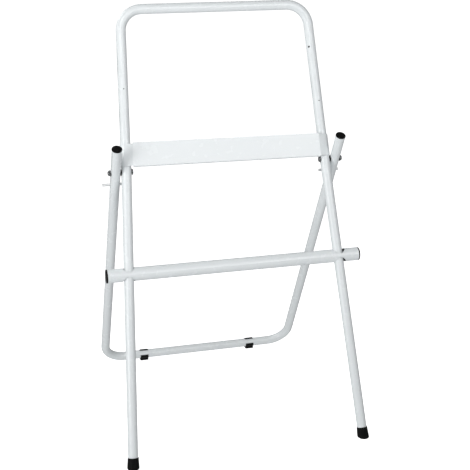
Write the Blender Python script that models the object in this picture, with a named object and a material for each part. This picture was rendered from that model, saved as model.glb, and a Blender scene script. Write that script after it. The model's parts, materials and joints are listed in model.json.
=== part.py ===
"""Folding tubular sawhorse: a front hoop with a crossbar and a sheet plate, and a U frame hinged behind it.

Metres, +Z up, +X to the viewer's right, -Y to the front. The origin is the middle of the object's base.
"""

import math

import bmesh
import bpy
import numpy as np
from mathutils import Matrix, Vector

MM = 0.001

# Front hoop: one bent tube, leaning back, with its legs a little wider apart at the floor.
TUBE_R = 12.5 * MM
TUBE_WALL = 1.5 * MM
PIVOT_Z = 690 * MM
PIVOT_Y = -89.44 * MM
FRONT_LEAN = math.radians(17.76)
HOOP_TOP_Z = 1070 * MM
LEG_X_FLOOR = 300.5 * MM
LEG_X_PIVOT = 257 * MM
LEG_X_TOP = 240 * MM
HOOP_BEND_R = 55 * MM
LEG_BEND_R = 250 * MM
LEG_END_LIFT = 8 * MM

# Rear frame: a U of the same tube, outside the front legs.
REAR_LEAN = math.radians(30.88)
REAR_X = 284 * MM
REAR_STUB = 78.5 * MM
REAR_BEND_R = 60 * MM
REAR_BAR_Z = 17.5 * MM

# Crossbar: a wider tube that the front legs pass through, just behind their centre line.
BAR_R = 17 * MM
BAR_WALL = 1.5 * MM
BAR_HALF = 324.8 * MM
BAR_Z = 451 * MM
BAR_SETBACK = 2.5 * MM
BAR_HOLE_STRETCH = 2.5 * MM

# Sheet plate above the pivots, its flat ahead of the uprights. Its ends slope back and are rolled over the
# uprights, and its lower edge is turned back into a flange. The ends are shorter than the flat, by the notch
# below and by the step above. It sits a little askew, its left end higher.
PLATE_T = 1.2 * MM
PLATE_LOW = 8 * MM
PLATE_HIGH = 68.3 * MM
PLATE_TILT = math.radians(0.53)
PLATE_FACE = 19 * MM
PLATE_SLOPE = math.radians(15)
PLATE_BEND = 4 * MM
PLATE_NOTCH = 3.3 * MM
PLATE_STEP = 3 * MM
PLATE_WRAP = math.radians(100)
PLATE_GAP = 0.9 * MM
FLANGE_DEPTH = 8 * MM
FLANGE_BEND = 2.4 * MM

# Fastenings, end plugs, feet and glides.
GAP = 0.3 * MM
BOLT_R = 4 * MM
WASHER_T = 1.0 * MM
WASHER_R = 8 * MM
HEAD_R = 7.4 * MM
HEAD_T = 2.4 * MM
SPACER_T = 1.0 * MM
SPACER_R = 8.4 * MM
NUT_FLATS = 13 * MM
NUT_HEX_T = 3.6 * MM
NUT_DOME_T = 2.2 * MM
NUT_BORE = 3.6 * MM
PIN_R = 3.5 * MM
PIN_LENGTH = 53 * MM
PIN_DROP = 40 * MM
PIN_IN_RIGHT = 248.7 * MM
PIN_IN_LEFT = 262.5 * MM
REAR_LIP = 1.2 * MM
BAR_LIP = 3.4 * MM
LIP_INSET = 0.1 * MM
LIP_OVERHANG = 0.5 * MM
PLUG_DEPTH = 14 * MM
FOOT_HEIGHT = 26 * MM
FOOT_R_TOP = 14 * MM
FOOT_R_FLOOR = 15.5 * MM
GLIDE_X = 165 * MM
GLIDE_LENGTH = 24 * MM
GLIDE_WALL = 1.6 * MM
GLIDE_OPEN_LOW = math.radians(6)
GLIDE_OPEN_HIGH = math.radians(72)
GLIDE_PAD_HALF = 9.5 * MM

# Small holes through the hoop's front wall: which side, height above the pivot along the leg,
# turn from straight ahead towards the middle, radius.
HOOP_HOLES = (
    (1, 288 * MM, math.radians(45), 2.6 * MM),
    (1, 149 * MM, 0.0, 1.5 * MM),
    (-1, 203 * MM, 0.0, 1.5 * MM),
)

TUBE_SIDES = 28
ROUND_SIDES = 24
BEND_STEPS = 9
SLOPE_STEPS = 3
ROLL_STEPS = 12

PIVOT = Vector((0, PIVOT_Y, PIVOT_Z))
FRONT_UP = Vector((0, math.sin(FRONT_LEAN), math.cos(FRONT_LEAN)))
FRONT_OUT = Vector((0, -math.cos(FRONT_LEAN), math.sin(FRONT_LEAN)))
REAR_DOWN = Vector((0, math.sin(REAR_LEAN), -math.cos(REAR_LEAN)))
ALONG_X = Vector((1, 0, 0))

COLOURS = {
    "white_coat": ((0.86, 0.88, 0.87, 1), 0.0, 0.35),
    "black_rubber": ((0.012, 0.012, 0.013, 1), 0.0, 0.75),
    "black_plastic": ((0.015, 0.015, 0.016, 1), 0.0, 0.5),
    "zinc": ((0.62, 0.63, 0.64, 1), 1.0, 0.35),
}


def clear_scene():
    for obj in list(bpy.data.objects):
        bpy.data.objects.remove(obj, do_unlink=True)


def material_for(node, slot):
    colour, metallic, roughness = COLOURS[slot]
    material = bpy.data.materials.new(node)
    material.use_nodes = True
    shader = material.node_tree.nodes["Principled BSDF"]
    shader.inputs["Base Color"].default_value = colour
    shader.inputs["Metallic"].default_value = metallic
    shader.inputs["Roughness"].default_value = roughness
    material.diffuse_color = colour
    return material


def add_object(name, bm, slot, origin=None, smooth=True):
    """One named object from world-space geometry, with its origin where asked."""
    bmesh.ops.recalc_face_normals(bm, faces=bm.faces)
    mesh = bpy.data.meshes.new(name)
    bm.to_mesh(mesh)
    bm.free()
    obj = bpy.data.objects.new(name, mesh)
    bpy.context.scene.collection.objects.link(obj)
    if origin is not None:
        mesh.transform(Matrix.Translation(-Vector(origin)))
        obj.location = origin
    if slot is not None:
        mesh.materials.append(material_for(name, slot))
    if smooth:
        mesh.shade_smooth()
        mesh.set_sharp_from_angle(angle=math.radians(35))
    return obj


def cut(target, cutters):
    """Subtracts each cutter from the target with an exact Boolean."""
    for cutter in cutters:
        cutter.hide_render = True
        cutter.display_type = "WIRE"
        modifier = target.modifiers.new("cut", "BOOLEAN")
        modifier.operation = "DIFFERENCE"
        modifier.solver = "EXACT"
        modifier.object = cutter


def frame_about(axis):
    """Two unit vectors square to an axis and to each other."""
    axis = Vector(axis).normalized()
    side = Vector((0, 0, 1)) if abs(axis.z) < 0.9 else Vector((1, 0, 0))
    first = (side - axis * side.dot(axis)).normalized()
    return first, axis.cross(first)


def bridge(bm, ring_a, ring_b):
    count = len(ring_a)
    for i in range(count):
        j = (i + 1) % count
        bm.faces.new((ring_a[i], ring_a[j], ring_b[j], ring_b[i]))


def lathe_bmesh(profile, base, axis, sides=ROUND_SIDES, closed=False):
    """Turns (radius, height) points about an axis. A closed profile makes a ring-shaped solid."""
    bm = bmesh.new()
    base = Vector(base)
    axis = Vector(axis).normalized()
    first, second = frame_about(axis)
    rings = []
    for radius, height in profile:
        centre = base + axis * height
        if radius < 1e-9:
            rings.append([bm.verts.new(centre)])
            continue
        ring = []
        for k in range(sides):
            angle = 2 * math.pi * k / sides
            ring.append(bm.verts.new(centre + (first * math.cos(angle) + second * math.sin(angle)) * radius))
        rings.append(ring)
    pairs = list(zip(rings[:-1], rings[1:]))
    if closed:
        pairs.append((rings[-1], rings[0]))
    for ring_a, ring_b in pairs:
        if len(ring_a) > 1 and len(ring_b) > 1:
            bridge(bm, ring_a, ring_b)
            continue
        tip, ring = (ring_a[0], ring_b) if len(ring_a) == 1 else (ring_b[0], ring_a)
        for i in range(len(ring)):
            bm.faces.new((tip, ring[i], ring[(i + 1) % len(ring)]))
    return bm


def cylinder_cutter(name, centre, axis, radius, length, sides=ROUND_SIDES):
    axis = Vector(axis).normalized()
    base = Vector(centre) - axis * length / 2
    bm = lathe_bmesh([(0, 0), (radius, 0), (radius, length), (0, length)], base, axis, sides)
    return add_object(name, bm, None, smooth=False)


def rounded_path(corners, radii):
    """The corner points joined by straights, with an arc of the given radius at each inner corner."""
    path = [corners[0]]
    for before, corner, after, radius in zip(corners[:-2], corners[1:-1], corners[2:], radii):
        back = (before - corner).normalized()
        ahead = (after - corner).normalized()
        half = back.angle(ahead) / 2
        reach = radius / math.tan(half)
        centre = corner + (back + ahead).normalized() * radius / math.sin(half)
        start = corner + back * reach - centre
        finish = corner + ahead * reach - centre
        sweep = start.angle(finish)
        steps = max(2, round(BEND_STEPS * sweep / (math.pi / 2)))
        for k in range(steps + 1):
            share = k / steps
            arm = start * math.sin((1 - share) * sweep) + finish * math.sin(share * sweep)
            path.append(centre + arm / math.sin(sweep))
    path.append(corners[-1])
    return path


def tube_bmesh(path, normal, outer, wall, sides=TUBE_SIDES):
    """An open-ended tube along a flat path whose plane has the given normal."""
    bm = bmesh.new()
    count = len(path)
    rings = {outer: [], outer - wall: []}
    for i, point in enumerate(path):
        ahead = (path[min(i + 1, count - 1)] - point).normalized()
        behind = (point - path[max(i - 1, 0)]).normalized()
        along = (ahead + behind).normalized()
        side = along.cross(normal).normalized()
        stretch = 1.0
        if 0 < i < count - 1:
            stretch = 1 / math.cos(ahead.angle(behind) / 2)
        for radius, made in rings.items():
            ring = []
            for k in range(sides):
                angle = 2 * math.pi * k / sides
                arm = side * math.cos(angle) * stretch + normal * math.sin(angle)
                ring.append(bm.verts.new(point + arm * radius))
            made.append(ring)
    outside, inside = rings[outer], rings[outer - wall]
    for made in (outside, inside):
        for ring_a, ring_b in zip(made[:-1], made[1:]):
            bridge(bm, ring_a, ring_b)
    bridge(bm, outside[0], inside[0])
    bridge(bm, outside[-1], inside[-1])
    return bm


def prism_bmesh(lower, upper):
    """A solid between two matching loops of points."""
    bm = bmesh.new()
    low = [bm.verts.new(p) for p in lower]
    high = [bm.verts.new(p) for p in upper]
    bridge(bm, low, high)
    bm.faces.new(low)
    bm.faces.new(high)
    return bm


def leg_point(side, z):
    """A point on a front leg's centre line below the pivot."""
    share = z / PIVOT_Z
    x = LEG_X_FLOOR + (LEG_X_PIVOT - LEG_X_FLOOR) * share
    return Vector((side * x, PIVOT_Y + (z - PIVOT_Z) * math.tan(FRONT_LEAN), z))


def leg_direction(side):
    """Down a front leg, from the pivot to the floor."""
    return (leg_point(side, 0) - leg_point(side, PIVOT_Z)).normalized()


def upright_x(height):
    """How far out the upright's centre line is, at a height above the pivot measured along the lean."""
    rise = height * math.cos(FRONT_LEAN)
    return LEG_X_PIVOT + (LEG_X_TOP - LEG_X_PIVOT) * rise / (HOOP_TOP_Z - PIVOT_Z)


def on_front(x, height, ahead=0.0):
    """A point in the front frame's leaning plane, or ahead of it."""
    return Vector((x, PIVOT_Y, PIVOT_Z)) + FRONT_UP * height + FRONT_OUT * ahead


def build_front_hoop():
    top = (HOOP_TOP_Z - PIVOT_Z) / math.cos(FRONT_LEAN)
    corners = []
    for side in (-1, 1):
        foot = leg_point(side, 0) - leg_direction(side) * LEG_END_LIFT
        corners.append([foot, on_front(side * LEG_X_PIVOT, 0), on_front(side * LEG_X_TOP, top)])
    path = rounded_path(
        corners[0] + corners[1][::-1],
        (LEG_BEND_R, HOOP_BEND_R, HOOP_BEND_R, LEG_BEND_R),
    )
    hoop = add_object("front_hoop", tube_bmesh(path, FRONT_OUT, TUBE_R, TUBE_WALL), "white_coat")
    cutters = []
    for side, label in ((-1, "left"), (1, "right")):
        centre = Vector((side * LEG_X_PIVOT, PIVOT_Y, PIVOT_Z))
        cutters.append(cylinder_cutter("cut_hoop_bolt_" + label, centre, ALONG_X, BOLT_R + 0.2 * MM, 40 * MM))
    for number, (side, height, turn, radius) in enumerate(HOOP_HOLES):
        outward = FRONT_OUT * math.cos(turn) - ALONG_X * side * math.sin(turn)
        centre = on_front(side * upright_x(height), height) + outward * TUBE_R
        cutters.append(cylinder_cutter("cut_hoop_hole_%d" % number, centre, outward, radius, 12 * MM, 16))
    cut(hoop, cutters)


def build_crossbar():
    centre = leg_point(1, BAR_Z)
    centre.x = 0
    centre -= FRONT_OUT * BAR_SETBACK
    ends = [centre - ALONG_X * BAR_HALF, centre + ALONG_X * BAR_HALF]
    bar = add_object("crossbar", tube_bmesh(ends, FRONT_OUT, BAR_R, BAR_WALL, 36), "white_coat")
    cutters = []
    for side, label in ((-1, "left"), (1, "right")):
        middle = leg_point(side, BAR_Z)
        along = leg_direction(side)
        out = (ALONG_X * side - along * along.dot(ALONG_X) * side).normalized()
        fore = along.cross(out).normalized()
        loop = []
        for k in range(TUBE_SIDES):
            angle = 2 * math.pi * (k + 0.5) / TUBE_SIDES
            shift = BAR_HOLE_STRETCH if math.cos(angle) > 0 else 0.0
            arm = out * (math.cos(angle) * (TUBE_R + GAP) + shift) + fore * math.sin(angle) * (TUBE_R + GAP)
            loop.append(middle + arm)
        reach = along * 40 * MM
        bm = prism_bmesh([p - reach for p in loop], [p + reach for p in loop])
        cutters.append(add_object("cut_bar_leg_" + label, bm, None, smooth=False))
    cut(bar, cutters)
    for side, label in ((-1, "left"), (1, "right")):
        face = centre + ALONG_X * side * (BAR_HALF + GAP / 2)
        lip_r = BAR_R - LIP_INSET
        build_plug("crossbar_plug_" + label, face, ALONG_X * side, BAR_R, BAR_WALL, BAR_LIP, lip_r)


def build_plug(name, face, outward, tube_r, wall, lip_t, lip_r):
    """A push-in end plug: a thin crowned lip over the tube's end and a cup that reaches into it."""
    stem_r = tube_r - wall - 0.25 * MM
    cup_r = stem_r - 1.8 * MM
    profile = [
        (0, lip_t + 0.5 * MM),
        (lip_r * 0.6, lip_t + 0.4 * MM),
        (lip_r - 0.8 * MM, lip_t),
        (lip_r, lip_t - 0.6 * MM),
        (lip_r, 0),
        (stem_r, 0),
        (stem_r, -PLUG_DEPTH + 1 * MM),
        (stem_r - 0.8 * MM, -PLUG_DEPTH),
        (cup_r, -PLUG_DEPTH),
        (cup_r, -1.6 * MM),
        (0, -1.6 * MM),
    ]
    add_object(name, lathe_bmesh(profile, face, outward, 28), "black_plastic")


def rolled_end():
    """The plate's mid surface from the end of its flat to its rolled edge, as (across, ahead) points.

    Across is measured from the upright's centre line, and ahead from the frame's leaning plane. The flat lies
    ahead of the uprights: past a bend it slopes back until it touches the upright, then it follows it round.
    """
    roll = TUBE_R + PLATE_GAP + PLATE_T / 2
    flat = PLATE_FACE - PLATE_T / 2
    sine, cosine = math.sin(PLATE_SLOPE), math.cos(PLATE_SLOPE)
    corner = roll * sine - (flat - roll * cosine) * cosine / sine
    start = corner - PLATE_BEND * math.tan(PLATE_SLOPE / 2)
    points = []
    for k in range(SLOPE_STEPS + 1):
        angle = PLATE_SLOPE * k / SLOPE_STEPS
        points.append((start + PLATE_BEND * math.sin(angle), flat - PLATE_BEND * (1 - math.cos(angle))))
    for k in range(ROLL_STEPS + 1):
        angle = PLATE_SLOPE + (PLATE_WRAP - PLATE_SLOPE) * k / ROLL_STEPS
        points.append((roll * math.sin(angle), roll * math.cos(angle)))
    return points


def plate_rows():
    """Rows up the plate, as (height, ahead, whether the band above the row has its rolled ends)."""
    flat = PLATE_FACE - PLATE_T / 2
    low = PLATE_LOW + PLATE_T / 2
    rows = [(low, flat - FLANGE_DEPTH, False)]
    steps = 4
    for k in range(steps + 1):
        angle = math.pi / 2 * k / steps
        height = low + FLANGE_BEND * (1 - math.cos(angle))
        rows.append((height, flat - FLANGE_BEND * (1 - math.sin(angle)), False))
    rows.append((PLATE_LOW + PLATE_NOTCH, flat, True))
    rows.append((PLATE_HIGH - PLATE_STEP, flat, False))
    rows.append((PLATE_HIGH, flat, False))
    return rows


def plate_point(side, across, height, ahead):
    """A point at a height on the tilted plate, across from the centre line of the upright on that side."""
    slope = math.tan(PLATE_TILT)
    x = side * (upright_x(height - side * slope * LEG_X_PIVOT) + across)
    return on_front(x, height - slope * x, ahead)


def build_plate():
    """A grid on the plate's mid surface, thickened."""
    end = rolled_end()
    bm = bmesh.new()
    grid = []
    for height, ahead, _ in plate_rows():
        back = end[0][1] - ahead
        left = [plate_point(-1, across, height, out - back) for across, out in reversed(end)]
        right = [plate_point(1, across, height, out - back) for across, out in end]
        grid.append([bm.verts.new(point) for point in left + right])
    flat_band = len(end) - 1
    for (_, _, rolled), low, high in zip(plate_rows(), grid, grid[1:]):
        for i in range(len(low) - 1):
            if rolled or i == flat_band:
                bm.faces.new((low[i], low[i + 1], high[i + 1], high[i]))
    bmesh.ops.delete(bm, geom=[v for v in bm.verts if not v.link_faces], context="VERTS")
    plate = add_object("cross_plate", bm, "white_coat")
    sheet = plate.modifiers.new("sheet", "SOLIDIFY")
    sheet.thickness = PLATE_T
    sheet.offset = 0
    sheet.use_even_offset = True


def build_rear_frame():
    reach = (PIVOT_Z - REAR_BAR_Z) / math.cos(REAR_LEAN)
    corners = []
    for side in (-1, 1):
        hinge = Vector((side * REAR_X, PIVOT_Y, PIVOT_Z))
        corners.append([hinge - REAR_DOWN * REAR_STUB, hinge + REAR_DOWN * reach])
    path = rounded_path(corners[0] + corners[1][::-1], (REAR_BEND_R, REAR_BEND_R))
    normal = REAR_DOWN.cross(ALONG_X).normalized()
    rear = add_object("rear_frame", tube_bmesh(path, normal, TUBE_R, TUBE_WALL), "white_coat", PIVOT)
    cutters = []
    for side, label in ((-1, "left"), (1, "right")):
        hinge = Vector((side * REAR_X, PIVOT_Y, PIVOT_Z))
        pin = hinge + REAR_DOWN * PIN_DROP
        cutters.append(cylinder_cutter("cut_rear_bolt_" + label, hinge, ALONG_X, BOLT_R + 0.2 * MM, 40 * MM))
        cutters.append(cylinder_cutter("cut_rear_pin_" + label, pin, ALONG_X, PIN_R + 0.2 * MM, 40 * MM))
        top = hinge - REAR_DOWN * (REAR_STUB + GAP / 2)
        build_plug("rear_plug_" + label, top, -REAR_DOWN, TUBE_R, TUBE_WALL, REAR_LIP, TUBE_R + LIP_OVERHANG)
    cut(rear, cutters)


def build_lock_pins():
    for side, label, inner in ((-1, "left", PIN_IN_LEFT), (1, "right", PIN_IN_RIGHT)):
        base = PIVOT + REAR_DOWN * PIN_DROP + ALONG_X * side * inner
        chamfer = 0.8 * MM
        profile = [
            (0, 0),
            (PIN_R - chamfer, 0),
            (PIN_R, chamfer),
            (PIN_R, PIN_LENGTH - chamfer),
            (PIN_R - chamfer, PIN_LENGTH),
            (0, PIN_LENGTH),
        ]
        add_object("lock_pin_" + label, lathe_bmesh(profile, base, ALONG_X * side), "zinc", base)


def ring_profile(inner, outer, low, high, chamfer=0.2 * MM):
    return [
        (inner, low),
        (outer - chamfer, low),
        (outer, low + chamfer),
        (outer, high - chamfer),
        (outer - chamfer, high),
        (inner, high),
    ]


def build_pivot(side, label):
    """Domed bolt from the inside, washers, a spacer between the tubes, and a cap nut outside."""
    axis = ALONG_X * side
    tube_in = LEG_X_PIVOT - TUBE_R
    washer_in = tube_in - 2 * GAP - WASHER_T
    head_face = washer_in - GAP
    between = REAR_X - TUBE_R - GAP - SPACER_T
    washer_out = REAR_X + TUBE_R + GAP
    nut_face = washer_out + WASHER_T + GAP
    bolt_end = nut_face + NUT_BORE - 0.4 * MM

    dome = []
    for k in range(6):
        angle = k / 6 * math.pi / 2
        dome.append((HEAD_R * math.sin(angle), head_face - 1 * MM - (HEAD_T - 1 * MM) * math.cos(angle)))
    profile = dome + [
        (HEAD_R, head_face - 1 * MM),
        (HEAD_R, head_face),
        (BOLT_R, head_face),
        (BOLT_R, bolt_end - 0.6 * MM),
        (BOLT_R - 0.6 * MM, bolt_end),
        (0, bolt_end),
    ]
    add_object("pivot_bolt_" + label, lathe_bmesh(profile, PIVOT, axis), "zinc")

    bore = BOLT_R + 0.2 * MM
    rings = (
        ("washer_inner_", washer_in, WASHER_T, WASHER_R, "zinc"),
        ("pivot_spacer_", between, SPACER_T, SPACER_R, "black_plastic"),
        ("washer_outer_", washer_out, WASHER_T, WASHER_R, "zinc"),
    )
    for name, low, thickness, radius, slot in rings:
        profile = ring_profile(bore, radius, low, low + thickness)
        add_object(name + label, lathe_bmesh(profile, PIVOT, axis, closed=True), slot)

    build_cap_nut("pivot_nut_" + label, PIVOT + axis * nut_face, axis)


def build_cap_nut(name, face, axis):
    """A hexagon with a domed, closed end and a blind hole for the bolt."""
    sides = 24
    flats = NUT_FLATS / 2
    first, second = frame_about(axis)
    bm = bmesh.new()

    def ring(height, shape):
        made = []
        for k in range(sides):
            angle = 2 * math.pi * k / sides
            radius = shape(angle)
            arm = first * math.cos(angle) + second * math.sin(angle)
            made.append(bm.verts.new(face + axis * height + arm * radius))
        return made

    def hexagon(angle):
        return flats / math.cos((angle + math.pi / 6) % (math.pi / 3) - math.pi / 6)

    bore = BOLT_R + 0.15 * MM
    rings = [
        ring(NUT_BORE, lambda a: bore),
        ring(0, lambda a: bore),
        ring(0, lambda a: flats * 0.97),
        ring(0.5 * MM, hexagon),
        ring(NUT_HEX_T - 0.5 * MM, hexagon),
        ring(NUT_HEX_T, lambda a: flats * 0.97),
    ]
    dome_r = flats * 0.9
    for k in range(5):
        angle = k / 5 * math.pi / 2
        rings.append(ring(NUT_HEX_T + NUT_DOME_T * math.sin(angle), lambda a, c=math.cos(angle): dome_r * c))
    for ring_a, ring_b in zip(rings[:-1], rings[1:]):
        bridge(bm, ring_a, ring_b)
    bm.faces.new(rings[0])
    tip = bm.verts.new(face + axis * (NUT_HEX_T + NUT_DOME_T))
    for i in range(sides):
        bm.faces.new((tip, rings[-1][i], rings[-1][(i + 1) % sides]))
    add_object(name, bm, "zinc")


def build_feet():
    """Rubber caps that flare towards the floor and are cut level with it."""
    for side, label in ((-1, "left"), (1, "right")):
        down = leg_direction(side)
        floor = leg_point(side, 0)
        bore = TUBE_R + 0.25 * MM
        depth = LEG_END_LIFT - 0.4 * MM
        profile = [
            (0, -16 * MM),
            (FOOT_R_FLOOR + 1 * MM, -16 * MM),
            (FOOT_R_FLOOR, 0),
            (FOOT_R_TOP, FOOT_HEIGHT - 1 * MM),
            (FOOT_R_TOP - 0.5 * MM, FOOT_HEIGHT),
            (bore, FOOT_HEIGHT),
            (bore, depth),
            (0, depth),
        ]
        foot = add_object("front_foot_" + label, lathe_bmesh(profile, floor, -down, 28), "black_rubber")
        loop = []
        for dx, dy in ((-1, -1), (1, -1), (1, 1), (-1, 1)):
            loop.append(Vector((floor.x + dx * 60 * MM, floor.y + dy * 60 * MM, -60 * MM)))
        lift = Vector((0, 0, 60 * MM))
        block = prism_bmesh(loop, [p + lift for p in loop])
        cutter = add_object("cut_foot_" + label, block, None, smooth=False)
        cut(foot, [cutter])


def build_glides():
    """Clips snapped on the rear frame's floor bar, open towards the front, with a flat pad below."""
    bar = Vector((0, PIVOT_Y + (PIVOT_Z - REAR_BAR_Z) * math.tan(REAR_LEAN), REAR_BAR_Z))
    inner = TUBE_R + 0.25 * MM
    outer = inner + GLIDE_WALL
    start = math.pi - GLIDE_OPEN_HIGH
    finish = -math.pi - GLIDE_OPEN_LOW
    steps = 30
    loop = []
    pad_done = False
    for k in range(steps + 1):
        angle = start + (finish - start) * k / steps
        y, z = outer * math.cos(angle), outer * math.sin(angle)
        if z < 0 and abs(y) < GLIDE_PAD_HALF:
            if not pad_done:
                loop.append((GLIDE_PAD_HALF, -math.sqrt(outer**2 - GLIDE_PAD_HALF**2)))
                loop.append((GLIDE_PAD_HALF - 0.8 * MM, -REAR_BAR_Z))
                loop.append((-GLIDE_PAD_HALF + 0.8 * MM, -REAR_BAR_Z))
                loop.append((-GLIDE_PAD_HALF, -math.sqrt(outer**2 - GLIDE_PAD_HALF**2)))
                pad_done = True
            continue
        loop.append((y, z))
    for k in range(steps + 1):
        angle = finish + (start - finish) * k / steps
        loop.append((inner * math.cos(angle), inner * math.sin(angle)))
    for side, label in ((-1, "left"), (1, "right")):
        ends = []
        for x in (side * GLIDE_X - GLIDE_LENGTH / 2, side * GLIDE_X + GLIDE_LENGTH / 2):
            ends.append([bar + Vector((x, y, z)) for y, z in loop])
        add_object("glide_" + label, prism_bmesh(*ends), "black_plastic")


def carry_on_rear_frame():
    """Parents what moves with the rear frame to it, so that all of it turns about the pivot axis."""
    rear = bpy.data.objects["rear_frame"]
    for kind in ("rear_plug_", "glide_", "lock_pin_"):
        for label in ("left", "right"):
            piece = bpy.data.objects[kind + label]
            piece.parent = rear
            piece.matrix_parent_inverse = Matrix.Translation(-PIVOT)


def main():
    clear_scene()
    build_front_hoop()
    build_crossbar()
    build_plate()
    build_rear_frame()
    build_lock_pins()
    for side, label in ((-1, "left"), (1, "right")):
        build_pivot(side, label)
    build_feet()
    build_glides()
    carry_on_rear_frame()


main()
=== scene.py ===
"""Looks for the folding sawhorse: finer meshes, coated-steel and rubber finishes, a pale studio, the camera.

Metres, +Z up, +X to the viewer's right, -Y to the front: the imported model's own frame.
"""

import json
import math

import bmesh
import bpy
import numpy as np
from mathutils import Matrix, Vector


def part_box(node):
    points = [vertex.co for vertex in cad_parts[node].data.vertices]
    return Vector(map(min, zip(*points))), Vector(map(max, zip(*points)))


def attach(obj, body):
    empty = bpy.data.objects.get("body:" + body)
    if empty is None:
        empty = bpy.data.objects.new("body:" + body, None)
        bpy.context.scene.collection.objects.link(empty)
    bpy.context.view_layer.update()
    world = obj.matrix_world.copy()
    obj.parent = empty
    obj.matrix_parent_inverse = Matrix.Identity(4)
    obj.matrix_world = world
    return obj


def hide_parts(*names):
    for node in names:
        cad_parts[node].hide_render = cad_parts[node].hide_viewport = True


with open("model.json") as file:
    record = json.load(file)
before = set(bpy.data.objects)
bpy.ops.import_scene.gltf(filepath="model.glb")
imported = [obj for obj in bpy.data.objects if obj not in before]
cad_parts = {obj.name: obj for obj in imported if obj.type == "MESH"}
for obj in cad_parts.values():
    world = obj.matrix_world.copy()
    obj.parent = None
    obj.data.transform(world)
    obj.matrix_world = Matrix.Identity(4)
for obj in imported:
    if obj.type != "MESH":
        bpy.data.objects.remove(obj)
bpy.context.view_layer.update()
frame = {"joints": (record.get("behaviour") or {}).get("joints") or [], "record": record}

MM = 0.001
ALONG_X = Vector((1, 0, 0))
GAP = 0.3 * MM
SIDES = ((-1, "left"), (1, "right"))
BODY_OF = {node: body for body, nodes in frame["record"]["behaviour"]["bodies"].items() for node in nodes}

# Tubes: both frames are bent from one size, the crossbar is wider.
TUBE_R = 12.5 * MM
TUBE_WALL = 1.5 * MM
HOOP_BEND_R = 55 * MM
REAR_BEND_R = 60 * MM
LEG_BEND_R = 250 * MM
TUBE_SIDES = 64
BEND_STEPS = 24
LONGEST_RING_GAP = 25 * MM
REAR_ROUND_SPAN = 60 * MM

# The hinge line, and the two frames' leaning planes found from their highest and lowest tubes.
PIVOT = Vector(next(joint["pos_m"] for joint in frame["joints"] if joint["name"] == "fold"))
HOOP_LOW, HOOP_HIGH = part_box("front_hoop")
REAR_LOW, REAR_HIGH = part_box("rear_frame")
HOOP_TOP = Vector((0, HOOP_HIGH.y - TUBE_R, HOOP_HIGH.z - TUBE_R))
REAR_BAR = Vector((0, REAR_HIGH.y - TUBE_R, REAR_LOW.z + TUBE_R))
FRONT_UP = (HOOP_TOP - PIVOT).normalized()
FRONT_OUT = Vector((0, -FRONT_UP.z, FRONT_UP.y))
REAR_DOWN = (REAR_BAR - PIVOT).normalized()
REAR_X = REAR_HIGH.x - TUBE_R
REAR_STUB = 78.5 * MM
LEG_X_FLOOR = sum(corner.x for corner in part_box("front_foot_right")) / 2
LEG_X_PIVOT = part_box("washer_inner_right")[1].x + 2 * GAP + TUBE_R
LEG_X_TOP = 240 * MM
LEG_END_LIFT = 8 * MM

# Crossbar, pierced by the legs a little behind their centre lines.
BAR_LOW, BAR_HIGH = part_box("crossbar")
BAR_CENTRE = (BAR_LOW + BAR_HIGH) / 2
BAR_R = (BAR_HIGH.z - BAR_LOW.z) / 2
BAR_WALL = 1.5 * MM
BAR_SIDES = 80
BAR_SLACK = {-1: 2.2 * MM, 1: 4.8 * MM}
HOLE_GAP = 1.2 * MM
RIM_R = 0.5 * MM

# Sheet plate, a little askew: its span along the uprights, its flat ahead of them, its ends, which slope back
# and roll over the uprights and are shorter below and above, and the turned-back flange.
PLATE_T = 1.2 * MM
PLATE_LOW = 8 * MM
PLATE_HIGH = 68.3 * MM
PLATE_TILT = math.radians(0.53)
PLATE_FACE = 19 * MM
PLATE_SLOPE = math.radians(15)
PLATE_BEND = 4 * MM
PLATE_NOTCH = 3.3 * MM
PLATE_STEP = 3 * MM
PLATE_WRAP = math.radians(100)
PLATE_GAP = 0.9 * MM
SLOPE_STEPS = 8
ROLL_STEPS = 32
FLANGE_DEPTH = 8 * MM
FLANGE_BEND = 2.4 * MM

# Small holes in the hoop's front wall: side, height above the pivot, turn towards the middle, radius.
HOOP_HOLES = (
    (1, 288 * MM, math.radians(45), 2.6 * MM),
    (1, 149 * MM, 0.0, 1.5 * MM),
    (-1, 203 * MM, 0.0, 1.5 * MM),
)

# End plugs: how thick their lips are, and how far the lips stay inside or stand out past the tube.
REAR_LIP = 1.2 * MM
BAR_LIP = 3.4 * MM
LIP_INSET = 0.1 * MM
LIP_OVERHANG = 0.5 * MM
PLUG_CROWN = 0.5 * MM
PLUG_FIT = 0.25 * MM
PLUG_DEPTH = 14 * MM
PLUG_WALL = 1.8 * MM
PLUG_FLOOR = 1.6 * MM

# Rubber feet, and the clips on the floor bar with their mouth's two edges and flat pad.
FOOT_R_TOP = 14 * MM
FOOT_R_FLOOR = 15.5 * MM
FOOT_HEIGHT = 26 * MM
FOOT_LIP_LOW = 20 * MM
FOOT_FIT = 0.1 * MM
FOOT_SIDES = 64
SOLE_ROUND = 1.6 * MM
GLIDE_FIT = 0.15 * MM
GLIDE_WALL = 1.7 * MM
GLIDE_PAD_HALF = 9.5 * MM
GLIDE_OPEN_HIGH = math.radians(72)
GLIDE_OPEN_LOW = math.radians(6)
GLIDE_STEPS = 60

# Pivot bolts, cap nuts and lock pins.
BOLT_R = 4 * MM
DRILL_SLACK = 0.2 * MM
DRILL_LENGTH = 40 * MM
HOLLOW_DEPTH = 12 * MM
PIN_HOLE_R = 3.7 * MM
RIM_T = 1 * MM
DOME_INSET = 0.5 * MM
DOME_STEPS = 14
NUT_HALF_FLATS = 6.5 * MM
NUT_HEX_T = 3.6 * MM
NUT_SIDES = 72
NUT_DOME_STEPS = 12

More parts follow.
